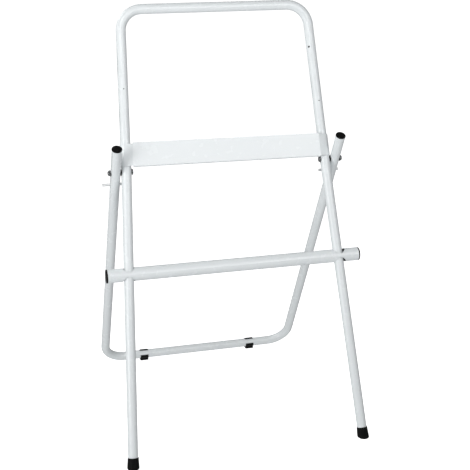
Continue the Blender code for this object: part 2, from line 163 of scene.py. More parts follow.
# Studio: a glowing pale floor, soft lamps as (name, place, size, watts), and a world that is brighter from
# below, as a white floor would make it.
FLOOR_GLOW = 0.95
LAMPS = (
    ("key", (-0.8, -1.3, 2.1), (1.0, 1.0), 12),
    ("side", (-2.2, -1.4, 0.9), (0.8, 1.6), 22),
    ("right", (1.0, -1.5, 1.6), (1.0, 1.0), 3),
    ("front", (0.7, -2.6, 1.6), (1.3, 1.3), 14),
    ("back", (-1.4, 1.5, 2.2), (1.2, 1.2), 17),
)
WORLD_FROM = (-0.27, -0.12, -0.96)
WORLD_RAMP = [(0.0, (0.235, 0.24, 0.24)), (0.5, (0.235, 0.24, 0.24)), (1.0, (0.77, 0.785, 0.79))]


# ---------------------------------------------------------------- meshes


def new_object(name, bm, materials, smooth_below=35):
    """An object from world-space geometry, smooth except at edges sharper than the given angle."""
    bmesh.ops.recalc_face_normals(bm, faces=bm.faces)
    mesh = bpy.data.meshes.new(name)
    bm.to_mesh(mesh)
    bm.free()
    for material in materials:
        mesh.materials.append(material)
    mesh.shade_smooth()
    mesh.set_sharp_from_angle(angle=math.radians(smooth_below))
    obj = bpy.data.objects.new(name, mesh)
    bpy.context.scene.collection.objects.link(obj)
    return obj


def stand_for(obj, node):
    """The piece is shown in place of a CAD node, on that node's body."""
    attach(obj, BODY_OF[node])
    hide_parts(node)
    return obj


def applied(obj):
    """The object with its modifiers made part of its mesh."""
    graph = bpy.context.evaluated_depsgraph_get()
    mesh = bpy.data.meshes.new_from_object(obj.evaluated_get(graph))
    obj.modifiers.clear()
    obj.data = mesh
    return obj


def cut(target, cutters):
    for cutter in cutters:
        modifier = target.modifiers.new("cut", "BOOLEAN")
        modifier.operation = "DIFFERENCE"
        modifier.solver = "EXACT"
        modifier.object = cutter
    applied(target)
    for cutter in cutters:
        bpy.data.objects.remove(cutter)


def ease_edges(obj, width, segments=3, angle=35):
    """Rounds the sharp edges, as a coat or a mould leaves them."""
    bevel = obj.modifiers.new("eased", "BEVEL")
    bevel.width = width
    bevel.segments = segments
    bevel.limit_method = "ANGLE"
    bevel.angle_limit = math.radians(angle)
    bevel.harden_normals = True
    return obj


def square_to(axis):
    """Two unit vectors square to an axis and to each other."""
    axis = Vector(axis).normalized()
    side = Vector((0, 0, 1)) if abs(axis.z) < 0.9 else Vector((1, 0, 0))
    first = (side - axis * side.dot(axis)).normalized()
    return first, axis.cross(first)


def bridge(bm, ring_a, ring_b, material=0):
    count = len(ring_a)
    for i in range(count):
        j = (i + 1) % count
        bm.faces.new((ring_a[i], ring_a[j], ring_b[j], ring_b[i])).material_index = material


def eased(corners, steps=4):
    """(radius, height, ease) corners as a profile, each rounded off from ease before it to ease after it."""
    made = []
    for i, (radius, height, ease) in enumerate(corners):
        corner = Vector((radius, height))
        if not ease:
            made.append(corner)
            continue
        start = corner + (Vector(corners[i - 1][:2]) - corner).normalized() * ease
        finish = corner + (Vector(corners[(i + 1) % len(corners)][:2]) - corner).normalized() * ease
        for k in range(steps + 1):
            t = k / steps
            made.append(start * (1 - t) ** 2 + corner * 2 * t * (1 - t) + finish * t * t)
    return [tuple(point) for point in made]


def lathe(profile, base, axis, sides=48, closed=False):
    """Turns (radius, height) points about an axis. A closed profile makes a ring."""
    bm = bmesh.new()
    axis = Vector(axis).normalized()
    first, second = square_to(axis)
    rings = []
    for radius, height in profile:
        centre = Vector(base) + axis * height
        if radius < 1e-7:
            rings.append([bm.verts.new(centre)])
            continue
        ring = []
        for k in range(sides):
            angle = 2 * math.pi * k / sides
            ring.append(bm.verts.new(centre + (first * math.cos(angle) + second * math.sin(angle)) * radius))
        rings.append(ring)
    pairs = list(zip(rings[:-1], rings[1:]))
    if closed:
        pairs.append((rings[-1], rings[0]))
    for ring_a, ring_b in pairs:
        if len(ring_a) > 1 and len(ring_b) > 1:
            bridge(bm, ring_a, ring_b)
            continue
        tip, ring = (ring_a[0], ring_b) if len(ring_a) == 1 else (ring_b[0], ring_a)
        for i in range(len(ring)):
            bm.faces.new((tip, ring[i], ring[(i + 1) % len(ring)]))
    return bm


def rounded_path(corners, radii):
    """The corners joined by straights, with an arc at each inner corner and no long gap between points."""
    path = [corners[0]]
    for before, corner, after, radius in zip(corners[:-2], corners[1:-1], corners[2:], radii):
        back = (before - corner).normalized()
        ahead = (after - corner).normalized()
        half = back.angle(ahead) / 2
        reach = radius / math.tan(half)
        centre = corner + (back + ahead).normalized() * radius / math.sin(half)
        start = corner + back * reach - centre
        finish = corner + ahead * reach - centre
        sweep = start.angle(finish)
        steps = max(3, round(BEND_STEPS * sweep / (math.pi / 2)))
        for k in range(steps + 1):
            share = k / steps
            arm = start * math.sin((1 - share) * sweep) + finish * math.sin(share * sweep)
            path.append(centre + arm / math.sin(sweep))
    path.append(corners[-1])
    spaced = [path[0]]
    for a, b in zip(path[:-1], path[1:]):
        parts = max(1, math.ceil((b - a).length / LONGEST_RING_GAP))
        spaced += [a.lerp(b, k / parts) for k in range(1, parts + 1)]
    return spaced


def tube(path, normal, outer, wall, sides=TUBE_SIDES):
    """An open-ended tube along a flat path, coated outside (material 0) and bare inside (material 1), the
    inside painted dark as the shade within the tube.
    """
    bm = bmesh.new()
    count = len(path)
    skins = {outer: [], outer - wall: []}
    for i, point in enumerate(path):
        ahead = (path[min(i + 1, count - 1)] - point).normalized()
        behind = (point - path[max(i - 1, 0)]).normalized()
        if i == 0:
            behind = ahead
        if i == count - 1:
            ahead = behind
        along = (ahead + behind).normalized()
        side = along.cross(normal).normalized()
        stretch = 1 / math.cos(ahead.angle(behind, 0) / 2)
        for radius, made in skins.items():
            ring = []
            for k in range(sides):
                angle = 2 * math.pi * k / sides
                arm = side * math.cos(angle) * stretch + normal * math.sin(angle)
                ring.append(bm.verts.new(point + arm * radius))
            made.append(ring)
    outside, inside = skins[outer], skins[outer - wall]
    for made, material in ((outside, 0), (inside, 1)):
        for ring_a, ring_b in zip(made[:-1], made[1:]):
            bridge(bm, ring_a, ring_b, material)
    bridge(bm, outside[0], inside[0])
    bridge(bm, outside[-1], inside[-1])
    return bm


def prism(lower, upper):
    """A solid between two matching loops of points."""
    bm = bmesh.new()
    low = [bm.verts.new(p) for p in lower]
    high = [bm.verts.new(p) for p in upper]
    bridge(bm, low, high)
    bm.faces.new(low)
    bm.faces.new(high)
    return bm


def drill(centre, axis, radius, length, sides=32):
    axis = Vector(axis).normalized()
    base = Vector(centre) - axis * length / 2
    profile = [(0, 0), (radius, 0), (radius, length), (0, length)]
    return new_object("drill", lathe(profile, base, axis, sides), [])


def true_round(obj, centre, axis, reach):
    """Shades a cut stretch of straight tube by its exact radial directions, whatever faces the cuts left."""
    mesh = obj.data
    axis = np.array(Vector(axis).normalized())
    points = np.empty(len(mesh.vertices) * 3)
    mesh.vertices.foreach_get("co", points)
    arms = points.reshape(-1, 3) - np.array(centre)
    along = arms @ axis
    arms -= along[:, None] * axis
    arms /= np.maximum(np.linalg.norm(arms, axis=1), 1e-9)[:, None]
    corner = np.empty(len(mesh.loops), np.int64)
    mesh.loops.foreach_get("vertex_index", corner)
    normals = np.empty(len(mesh.loops) * 3)
    mesh.corner_normals.foreach_get("vector", normals)
    normals = normals.reshape(-1, 3)
    sizes = np.empty(len(mesh.polygons), np.int64)
    mesh.polygons.foreach_get("loop_total", sizes)
    flat = np.empty(len(mesh.polygons) * 3)
    mesh.polygons.foreach_get("normal", flat)
    flat = np.repeat(flat.reshape(-1, 3), sizes, axis=0)
    facing = np.einsum("ij,ij->i", flat, arms[corner])
    near = (np.abs(along[corner]) < reach) & (np.abs(facing) > 0.9)
    normals[near] = arms[corner][near] * np.sign(facing[near])[:, None]
    mesh.normals_split_custom_set(normals.tolist())


# ---------------------------------------------------------------- materials


def new_material(name, base_color, roughness, metallic=0.0):
    """A named Principled material. Returns it with its node tree and shader."""
    material = bpy.data.materials.new(name)
    material.use_nodes = True
    tree = material.node_tree
    shader = tree.nodes["Principled BSDF"]
    shader.inputs["Base Color"].default_value = (*base_color, 1)
    shader.inputs["Roughness"].default_value = roughness
    shader.inputs["Metallic"].default_value = metallic
    return material, tree, shader


def object_coordinates(tree, scale=(1, 1, 1)):
    coordinates = tree.nodes.new("ShaderNodeTexCoord")
    mapping = tree.nodes.new("ShaderNodeMapping")
    mapping.inputs["Scale"].default_value = scale
    tree.links.new(coordinates.outputs["Object"], mapping.inputs["Vector"])
    return mapping.outputs["Vector"]


def noise(tree, vector, scale, detail=3, roughness=0.5):
    node = tree.nodes.new("ShaderNodeTexNoise")
    node.inputs["Scale"].default_value = scale
    node.inputs["Detail"].default_value = detail
    node.inputs["Roughness"].default_value = roughness
    tree.links.new(vector, node.inputs["Vector"])
    return node.outputs["Fac"]


def ramp(tree, value, stops):
    """A colour ramp through (position, colour) stops."""
    node = tree.nodes.new("ShaderNodeValToRGB")
    elements = node.color_ramp.elements
    while len(elements) < len(stops):
        elements.new(0.5)
    for element, (position, colour) in zip(elements, stops):
        element.position = position
        element.color = (*colour, 1)
    tree.links.new(value, node.inputs["Fac"])
    return node.outputs["Color"]


def ranged(tree, value, low, high):
    """A 0.3 to 0.7 noise value spread over low to high."""
    node = tree.nodes.new("ShaderNodeMapRange")
    node.inputs["From Min"].default_value = 0.3
    node.inputs["From Max"].default_value = 0.7
    node.inputs["To Min"].default_value = low
    node.inputs["To Max"].default_value = high
    tree.links.new(value, node.inputs["Value"])
    return node.outputs["Result"]


def bump(tree, shader, layers):
    """Chains (height, distance, strength) layers into the shader's normal."""
    last = None
    for height, distance, strength in layers:
        node = tree.nodes.new("ShaderNodeBump")
        node.inputs["Distance"].default_value = distance
        node.inputs["Strength"].default_value = strength
        tree.links.new(height, node.inputs["Height"])
        if last:
            tree.links.new(last, node.inputs["Normal"])
        last = node.outputs["Normal"]
    tree.links.new(last, shader.inputs["Normal"])


def white_coat():
    """Powder coat: cool white, faint thickness clouds, fine orange peel, satin gloss that varies a little."""
    material, tree, shader = new_material("white_powder_coat", (0.86, 0.88, 0.87), 0.3)
    vector = object_coordinates(tree)
    clouds = noise(tree, vector, 9, detail=4)
    tint = ramp(tree, clouds, [
        (0.3, (0.808, 0.840, 0.856)),
        (0.55, (0.818, 0.850, 0.864)),
        (0.75, (0.808, 0.844, 0.856)),
    ])
    tree.links.new(tint, shader.inputs["Base Color"])
    tree.links.new(ranged(tree, noise(tree, vector, 60, detail=5), 0.22, 0.29), shader.inputs["Roughness"])
    peel = noise(tree, vector, 650, detail=2)
    waves = noise(tree, vector, 110, detail=2)
    bump(tree, shader, [(waves, 0.2 * MM, 0.03), (peel, 0.1 * MM, 0.12)])
    shader.inputs["Coat Weight"].default_value = 0.3
    shader.inputs["Coat Roughness"].default_value = 0.08
    return material


def bare_steel_and_painted_shade():
    """The uncoated inside of a tube: dull, with mill streaks, and painted darker than bare steel as the shade
    inside the tube.
    """
    material, tree, shader = new_material("bare_tube_inside_painted_shade", (0.10, 0.10, 0.10), 0.6, metallic=0.6)
    streaks = noise(tree, object_coordinates(tree), 220, detail=4)
    # Painted shade: these near-black tones are darker than bare steel and stand for the shade within the
    # tube.
    tint = ramp(tree, streaks, [(0.3, (0.035, 0.034, 0.032)), (0.7, (0.09, 0.088, 0.085))])
    tree.links.new(tint, shader.inputs["Base Color"])
    return material


def black_rubber():
    """Soft black rubber: matt, grainy, greyer where the sole has rubbed on the floor."""
    material, tree, shader = new_material("black_rubber", (0.012, 0.012, 0.013), 0.7)
    shader.inputs["Specular IOR Level"].default_value = 0.1
    vector = object_coordinates(tree)
    blotches = noise(tree, vector, 80, detail=6)
    body = ramp(tree, blotches, [(0.35, (0.002, 0.002, 0.002)), (0.7, (0.007, 0.007, 0.007))])
    sole = ramp(tree, blotches, [(0.35, (0.015, 0.015, 0.014)), (0.7, (0.04, 0.038, 0.035))])
    position = tree.nodes.new("ShaderNodeSeparateXYZ")
    tree.links.new(vector, position.inputs["Vector"])
    height = tree.nodes.new("ShaderNodeMapRange")
    height.inputs["From Min"].default_value = 0.0005
    height.inputs["From Max"].default_value = 0.004
    tree.links.new(position.outputs["Z"], height.inputs["Value"])
    mix = tree.nodes.new("ShaderNodeMix")
    mix.data_type = "RGBA"
    tree.links.new(height.outputs["Result"], mix.inputs["Factor"])
    tree.links.new(sole, mix.inputs["A"])
    tree.links.new(body, mix.inputs["B"])
    tree.links.new(mix.outputs["Result"], shader.inputs["Base Color"])
    tree.links.new(ranged(tree, blotches, 0.5, 0.72), shader.inputs["Roughness"])
    bump(tree, shader, [(noise(tree, vector, 900, detail=3), 0.12 * MM, 0.35)])
    return material


def black_plastic():
    """Moulded black plastic: satin with a fine spark-eroded grain."""
    material, tree, shader = new_material("black_plastic", (0.004, 0.004, 0.004), 0.45)
    shader.inputs["Specular IOR Level"].default_value = 0.1
    vector = object_coordinates(tree)
    blotches = noise(tree, vector, 140, detail=4)
    tint = ramp(tree, blotches, [(0.3, (0.002, 0.002, 0.002)), (0.7, (0.006, 0.006, 0.006))])
    tree.links.new(tint, shader.inputs["Base Color"])
    tree.links.new(ranged(tree, blotches, 0.36, 0.52), shader.inputs["Roughness"])
    bump(tree, shader, [(noise(tree, vector, 1400, detail=2), 0.08 * MM, 0.3)])
    return material


def zinc(name, dark, light, smooth, rough):
    """Zinc-plated steel: faint blue and straw clouds, small tumbling marks."""
    material, tree, shader = new_material(name, light, 0.25, metallic=1.0)
    vector = object_coordinates(tree)
    clouds = noise(tree, vector, 260, detail=4)
    straw = (light[0], light[1] * 0.98, light[2] * 0.93)
    tint = ramp(tree, clouds, [(0.3, dark), (0.55, light), (0.75, straw)])
    tree.links.new(tint, shader.inputs["Base Color"])
    wear = noise(tree, vector, 500, detail=5)
    tree.links.new(ranged(tree, wear, smooth, rough), shader.inputs["Roughness"])
    bump(tree, shader, [(noise(tree, vector, 1600, detail=4), 0.03 * MM, 0.25)])
    return material


WHITE = white_coat()
# The tubes' insides: uncoated steel, painted near black as their shade.
BARE_AND_SHADE = bare_steel_and_painted_shade()
RUBBER = black_rubber()
PLASTIC = black_plastic()
ZINC = zinc("zinc_plate", (0.12, 0.124, 0.13), (0.26, 0.265, 0.27), 0.05, 0.13)
PIN_ZINC = zinc("pale_zinc_plate", (0.82, 0.83, 0.84), (0.88, 0.89, 0.89), 0.45, 0.6)


# ---------------------------------------------------------------- front frame


def leg_point(side, z):
    """A point on a front leg's centre line below the pivot."""
    x = LEG_X_FLOOR + (LEG_X_PIVOT - LEG_X_FLOOR) * z / PIVOT.z
    return Vector((side * x, PIVOT.y + (z - PIVOT.z) * FRONT_UP.y / FRONT_UP.z, z))


def leg_direction(side):
    return (leg_point(side, 0) - leg_point(side, PIVOT.z)).normalized()


def upright_x(height):
    """How far out the upright's centre line is, at a height above the pivot measured along the lean."""
    return LEG_X_PIVOT + (LEG_X_TOP - LEG_X_PIVOT) * height / (HOOP_TOP - PIVOT).length


def on_front(x, height, ahead=0.0):
    """A point in the front frame's leaning plane, or ahead of it."""
    return PIVOT + ALONG_X * x + FRONT_UP * height + FRONT_OUT * ahead


def upright_direction(side):
    return (on_front(side * upright_x(0.1), 0.1) - on_front(side * upright_x(0), 0)).normalized()


def build_front_hoop():
    top = (HOOP_TOP - PIVOT).length
    corners = []
    for side, _ in SIDES:
        foot = leg_point(side, 0) - leg_direction(side) * LEG_END_LIFT
        corners.append([foot, on_front(side * LEG_X_PIVOT, 0), on_front(side * LEG_X_TOP, top)])
    path = rounded_path(corners[0] + corners[1][::-1], (LEG_BEND_R, HOOP_BEND_R, HOOP_BEND_R, LEG_BEND_R))
    hoop = new_object("front_hoop_look", tube(path, FRONT_OUT, TUBE_R, TUBE_WALL), [WHITE, BARE_AND_SHADE])
    drills = []
    for side, _ in SIDES:
        bolt = PIVOT + ALONG_X * side * LEG_X_PIVOT
        drills.append(drill(bolt, ALONG_X, BOLT_R + DRILL_SLACK, DRILL_LENGTH))
    for side, height, turn, radius in HOOP_HOLES:
        outward = FRONT_OUT * math.cos(turn) - ALONG_X * side * math.sin(turn)
        centre = on_front(side * upright_x(height), height) + outward * TUBE_R
        drills.append(drill(centre, outward, radius, HOLLOW_DEPTH))
    cut(hoop, drills)
    for side, height, _, _ in HOOP_HOLES:
        middle = on_front(side * upright_x(height), height)
        true_round(hoop, middle, upright_direction(side), LONGEST_RING_GAP)
    stand_for(hoop, "front_hoop")


def leg_hole(side, slack, r):
    """The leg's direction and the arms from it to the hole's edge, which is slacker on the outer side."""
    along = leg_direction(side)
    out = (ALONG_X * side - along * along.dot(ALONG_X) * side).normalized()
    fore = along.cross(out).normalized()
    arms = []
    for k in range(TUBE_SIDES):
        angle = 2 * math.pi * (k + 0.5) / TUBE_SIDES
        shift = slack * min(1.0, max(0.0, math.cos(angle) * 4))
        arms.append(out * (math.cos(angle) * r + shift) + fore * math.sin(angle) * r)
    return along, arms


def hole_edge(side, arms, along, upper):
    """Where lines along the leg through the arms' tips meet the crossbar's outer surface."""
    edge = []
    middle = leg_point(side, BAR_CENTRE.z)
    across = along - ALONG_X * along.dot(ALONG_X)
    for arm in arms:
        offset = middle + arm - BAR_CENTRE
        offset -= ALONG_X * offset.dot(ALONG_X)
        a = across.dot(across)
        b = offset.dot(across)
        c = offset.dot(offset) - BAR_R**2
        root = math.sqrt(max(b * b - a * c, 0))
        t = (-b - root) / a if upper else (-b + root) / a
        edge.append(middle + arm + along * t)
    return edge


def bead(bm, points, radius, lift_from, sides=8):
    """A thin closed bead along a loop of points, kept level with the bar's surface all the way round."""
    rings = []
    count = len(points)
    for i, point in enumerate(points):
        along = (points[(i + 1) % count] - points[i - 1]).normalized()
        radial = point - lift_from
        radial -= ALONG_X * radial.dot(ALONG_X)
        first = (radial - along * radial.dot(along)).normalized()
        second = along.cross(first)
        ring = []
        for k in range(sides):
            angle = 2 * math.pi * k / sides
            ring.append(bm.verts.new(point + (first * math.cos(angle) + second * math.sin(angle)) * radius))
        rings.append(ring)
    for ring_a, ring_b in zip(rings, rings[1:] + rings[:1]):
        bridge(bm, ring_a, ring_b)


def build_crossbar():
    ends = [Vector((x, BAR_CENTRE.y, BAR_CENTRE.z)) for x in (BAR_LOW.x, BAR_HIGH.x)]
    bm = tube(rounded_path(ends, ()), FRONT_OUT, BAR_R, BAR_WALL, BAR_SIDES)
    bar = new_object("crossbar_look", bm, [WHITE, BARE_AND_SHADE])
    cutters = []
    for side, _ in SIDES:
        along, arms = leg_hole(side, BAR_SLACK[side], TUBE_R + HOLE_GAP)
        middle = leg_point(side, BAR_CENTRE.z)
        loop = [middle + arm for arm in arms]
        reach = along * DRILL_LENGTH
        cutters.append(new_object("cutter", prism([p - reach for p in loop], [p + reach for p in loop]), []))
    cut(bar, cutters)
    true_round(bar, BAR_CENTRE, ALONG_X, BAR_HIGH.x)
    stand_for(bar, "crossbar")

    rims = bmesh.new()
    for side, _ in SIDES:
        along, arms = leg_hole(side, BAR_SLACK[side], TUBE_R + HOLE_GAP + RIM_R)
        for upper in (True, False):
            bead(rims, hole_edge(side, arms, along, upper), RIM_R, BAR_CENTRE)
    rim = new_object("crossbar_hole_rims", rims, [WHITE])
    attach(rim, BODY_OF["crossbar"])


def rolled_end():
    """The plate's mid surface from the end of its flat to its rolled edge, as (across, ahead) points.

    Across is measured from the upright's centre line, and ahead from the frame's leaning plane. The flat lies
    ahead of the uprights: past a bend it slopes back until it touches the upright, then it follows it round.
    """
    roll = TUBE_R + PLATE_GAP + PLATE_T / 2
    flat = PLATE_FACE - PLATE_T / 2
    sine, cosine = math.sin(PLATE_SLOPE), math.cos(PLATE_SLOPE)
    corner = roll * sine - (flat - roll * cosine) * cosine / sine
    start = corner - PLATE_BEND * math.tan(PLATE_SLOPE / 2)
    points = []
    for k in range(SLOPE_STEPS + 1):
        angle = PLATE_SLOPE * k / SLOPE_STEPS
        points.append((start + PLATE_BEND * math.sin(angle), flat - PLATE_BEND * (1 - math.cos(angle))))
    for k in range(ROLL_STEPS + 1):
        angle = PLATE_SLOPE + (PLATE_WRAP - PLATE_SLOPE) * k / ROLL_STEPS
        points.append((roll * math.sin(angle), roll * math.cos(angle)))
    return points


def plate_rows():
    """Rows up the plate, as (height, ahead, whether the band above the row has its rolled ends)."""
    flat = PLATE_FACE - PLATE_T / 2
    low = PLATE_LOW + PLATE_T / 2
    rows = [(low, flat - FLANGE_DEPTH, False)]
    steps = 8
    for k in range(steps + 1):
        angle = math.pi / 2 * k / steps
        height = low + FLANGE_BEND * (1 - math.cos(angle))
        rows.append((height, flat - FLANGE_BEND * (1 - math.sin(angle)), False))
    bottom, top = PLATE_LOW + PLATE_NOTCH, PLATE_HIGH - PLATE_STEP
    steps = 6
    for k in range(steps + 1):
        rows.append((bottom + (top - bottom) * k / steps, flat, k < steps))
    rows.append((PLATE_HIGH, flat, False))
    return rows


def plate_point(side, across, height, ahead):
    """A point at a height on the tilted plate, across from the centre line of the upright on that side."""
    slope = math.tan(PLATE_TILT)
    x = side * (upright_x(height - side * slope * LEG_X_PIVOT) + across)
    return on_front(x, height - slope * x, ahead)


def build_plate():
    """The plate as a grid on its mid surface, thickened, its edges eased as the coat leaves them."""
    end = rolled_end()
    middle_steps = 20
    bm = bmesh.new()
    grid = []
    for height, ahead, _ in plate_rows():
        back = end[0][1] - ahead
        left = [plate_point(-1, across, height, out - back) for across, out in reversed(end)]
        right = [plate_point(1, across, height, out - back) for across, out in end]
        middle = [left[-1].lerp(right[0], k / middle_steps) for k in range(1, middle_steps)]
        grid.append([bm.verts.new(point) for point in left + middle + right])
    flat_bands = range(len(end) - 1, len(end) - 1 + middle_steps)
    for (_, _, rolled), low, high in zip(plate_rows(), grid, grid[1:]):
        for i in range(len(low) - 1):
            if rolled or i in flat_bands:
                bm.faces.new((low[i], low[i + 1], high[i + 1], high[i]))
    bmesh.ops.delete(bm, geom=[v for v in bm.verts if not v.link_faces], context="VERTS")
    plate = new_object("cross_plate_look", bm, [WHITE])
    sheet = plate.modifiers.new("sheet", "SOLIDIFY")
    sheet.thickness = PLATE_T
    sheet.offset = 0
    sheet.use_even_offset = True
    ease_edges(plate, 0.4 * MM)
    stand_for(plate, "cross_plate")


def build_feet():
    """Rubber caps: a rolled top lip, sides that flare to the floor, and a sole level with it."""
    rim_r = FOOT_R_TOP + FOOT_FIT
    lip = eased([
        (TUBE_R + FOOT_FIT, FOOT_LIP_LOW, 0),
        (TUBE_R + FOOT_FIT, FOOT_HEIGHT, 0.3 * MM),
        (rim_r, FOOT_HEIGHT, 0.8 * MM),
        (rim_r, FOOT_HEIGHT - 3 * MM, 0.5 * MM),
        (FOOT_R_TOP - 0.25 * MM, FOOT_HEIGHT - 3.6 * MM, 0.3 * MM),
        (FOOT_R_TOP + 0.12 * MM, FOOT_HEIGHT - 7 * MM, 0),
    ])
    flare = (FOOT_R_FLOOR - FOOT_R_TOP) / FOOT_HEIGHT
    for side, label in SIDES:
        up = -leg_direction(side)
        floor = leg_point(side, 0)
        first, second = square_to(up)
        bm = bmesh.new()
        rings = [[] for _ in range(len(lip) + 8)]
        for k in range(FOOT_SIDES):
            angle = 2 * math.pi * k / FOOT_SIDES
            arm = first * math.cos(angle) + second * math.sin(angle)
            column = [floor + up * h + arm * r for r, h in lip]
            # Down the flared side to where it meets the floor, then round the edge onto the sole.
            slope = (arm * flare - up).normalized()
            start = column[-1]
            meet = start + slope * (start.z / -slope.z)
            inward = Vector((floor.x - meet.x, floor.y - meet.y, 0)).normalized()
            column += [start.lerp(meet, 0.5), meet - slope * (SOLE_ROUND + 1 * MM)]
            begin = meet - slope * SOLE_ROUND
            end = meet + inward * SOLE_ROUND
            for j in range(5):
                t = j / 4
                column.append(begin * (1 - t) ** 2 + meet * 2 * t * (1 - t) + end * t * t)
            column.append(Vector((floor.x, floor.y, 0)).lerp(end, 0.5))
            for ring, point in zip(rings, column):
                ring.append(bm.verts.new(point))
        for ring_a, ring_b in zip(rings[:-1], rings[1:]):
            bridge(bm, ring_a, ring_b)
        bm.faces.new(rings[-1])
        foot = new_object("front_foot_look_" + label, bm, [RUBBER])
        stand_for(foot, "front_foot_" + label)


# ---------------------------------------------------------------- rear frame


def build_rear_frame():
    reach = (REAR_BAR - PIVOT).length
    corners = []
    for side, _ in SIDES:
        hinge = PIVOT + ALONG_X * side * REAR_X
        corners.append([hinge - REAR_DOWN * REAR_STUB, hinge + REAR_DOWN * reach])
    path = rounded_path(corners[0] + corners[1][::-1], (REAR_BEND_R, REAR_BEND_R))
    normal = REAR_DOWN.cross(ALONG_X).normalized()
    rear = new_object("rear_frame_look", tube(path, normal, TUBE_R, TUBE_WALL), [WHITE, BARE_AND_SHADE])
    drills = []
    for side, label in SIDES:
        low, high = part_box("lock_pin_" + label)
        pin = (low + high) / 2
        hole = Vector((side * REAR_X, pin.y, pin.z))
        bolt = PIVOT + ALONG_X * side * REAR_X
        drills.append(drill(bolt, ALONG_X, BOLT_R + DRILL_SLACK, DRILL_LENGTH))
        drills.append(drill(hole, ALONG_X, PIN_HOLE_R, DRILL_LENGTH))
    cut(rear, drills)
    for side, _ in SIDES:
        true_round(rear, PIVOT + ALONG_X * side * REAR_X, REAR_DOWN, REAR_ROUND_SPAN)
    stand_for(rear, "rear_frame")


def build_plug(kind, label, face, outward, tube_r, lip, lip_r):
    """A push-in end plug: a crowned lip with a rounded rim and a shallow ring, and a cup inside the tube."""
    stem = tube_r - TUBE_WALL - PLUG_FIT
    profile = [(0, lip + PLUG_CROWN)]
    profile += eased([
        (0, lip + PLUG_CROWN, 0),
        (lip_r * 0.62, lip + 0.42 * MM, 0.3 * MM),
        (lip_r * 0.66, lip + 0.12 * MM, 0.2 * MM),
        (lip_r * 0.72, lip + 0.32 * MM, 0.3 * MM),
        (lip_r, lip, 0.8 * MM),
        (lip_r, 0, 0),
        (stem, 0, 0),
        (stem, -PLUG_DEPTH, 0.8 * MM),
        (stem - PLUG_WALL, -PLUG_DEPTH, 0),
        (stem - PLUG_WALL, -PLUG_FLOOR, 0),
        (0, -PLUG_FLOOR, 0),
    ])[1:]
    plug = new_object(kind + "_look_" + label, lathe(profile, face, outward, TUBE_SIDES), [PLASTIC])
    stand_for(plug, kind + "_" + label)


def build_plugs():
    for side, label in SIDES:
        face = Vector((side * (BAR_HIGH.x + GAP / 2), BAR_CENTRE.y, BAR_CENTRE.z))
        build_plug("crossbar_plug", label, face, ALONG_X * side, BAR_R, BAR_LIP, BAR_R - LIP_INSET)
        hinge = PIVOT + ALONG_X * side * REAR_X
        face = hinge - REAR_DOWN * (REAR_STUB + GAP / 2)
        build_plug("rear_plug", label, face, -REAR_DOWN, TUBE_R, REAR_LIP, TUBE_R + LIP_OVERHANG)


def build_glides():
    """Clips snapped on the floor bar: open at the front, a lip at each mouth edge, a flat pad below."""
    inner = TUBE_R + GLIDE_FIT
    outer = inner + GLIDE_WALL
    pad = GLIDE_PAD_HALF
    start = math.pi - GLIDE_OPEN_HIGH
    finish = -math.pi - GLIDE_OPEN_LOW
    outline = []
    pad_done = False
    for k in range(GLIDE_STEPS + 1):
        angle = start + (finish - start) * k / GLIDE_STEPS
        y, z = outer * math.cos(angle), outer * math.sin(angle)
        if z < 0 and abs(y) < pad:
            if not pad_done:
                top = -math.sqrt(outer**2 - pad**2)
                flat = pad - 0.8 * MM
                outline += [(pad, top), (flat, -REAR_BAR.z), (-flat, -REAR_BAR.z), (-pad, top)]
                pad_done = True
            continue
        outline.append((y, z))
    for k in range(GLIDE_STEPS + 1):
        angle = finish + (start - finish) * k / GLIDE_STEPS
        outline.append((inner * math.cos(angle), inner * math.sin(angle)))
    for side, label in SIDES:
        low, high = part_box("glide_" + label)
        ends = [[Vector((x, REAR_BAR.y + y, REAR_BAR.z + z)) for y, z in outline] for x in (low.x, high.x)]
        clip = new_object("glide_look_" + label, prism(*ends), [PLASTIC])
        ease_edges(clip, 0.45 * MM)
        stand_for(clip, "glide_" + label)


# ---------------------------------------------------------------- pivots and pins


def build_pivots():
    for side, label in SIDES:
        axis = ALONG_X * side
        build_bolt(side, label, axis)
        for kind, material, slot in (
            ("washer_inner", ZINC, "zinc"),
            ("pivot_spacer", PLASTIC, "black_plastic"),
            ("washer_outer", ZINC, "zinc"),
        ):
            low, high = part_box(kind + "_" + label)
            near, far = sorted((side * low.x, side * high.x))
            radius = (high.z - low.z) / 2
            bore = BOLT_R + DRILL_SLACK
            profile = eased([
                (bore, near, 0),
                (radius, near, 0.3 * MM),
                (radius, far, 0.3 * MM),
                (bore, far, 0),
            ])
            ring = new_object(kind + "_look_" + label, lathe(profile, PIVOT, axis, closed=True), [material])
            stand_for(ring, kind + "_" + label)
        build_nut(side, label, axis)


def build_bolt(side, label, axis):
    """A domed head on a low flange, and the plain shank."""
    low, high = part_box("pivot_bolt_" + label)
    near, far = sorted((side * low.x, side * high.x))
    head_r = (high.z - low.z) / 2
    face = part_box("washer_inner_" + label)
    seat = min(side * face[0].x, side * face[1].x) - GAP
    dome_r = head_r - DOME_INSET
    rim = seat - RIM_T
    profile = []
    for k in range(DOME_STEPS + 1):
        angle = k / DOME_STEPS * math.pi / 2
        profile.append((dome_r * math.sin(angle), rim - (rim - near) * math.cos(angle)))
    profile += eased([
        (dome_r, rim, 0),
        (head_r, rim, 0.25 * MM),
        (head_r, seat, 0.25 * MM),
        (BOLT_R, seat, 0),
        (BOLT_R, far, 0.6 * MM),
        (0, far, 0),
    ])[1:]
    bolt = new_object("pivot_bolt_look_" + label, lathe(profile, PIVOT, axis, TUBE_SIDES), [ZINC])
    stand_for(bolt, "pivot_bolt_" + label)


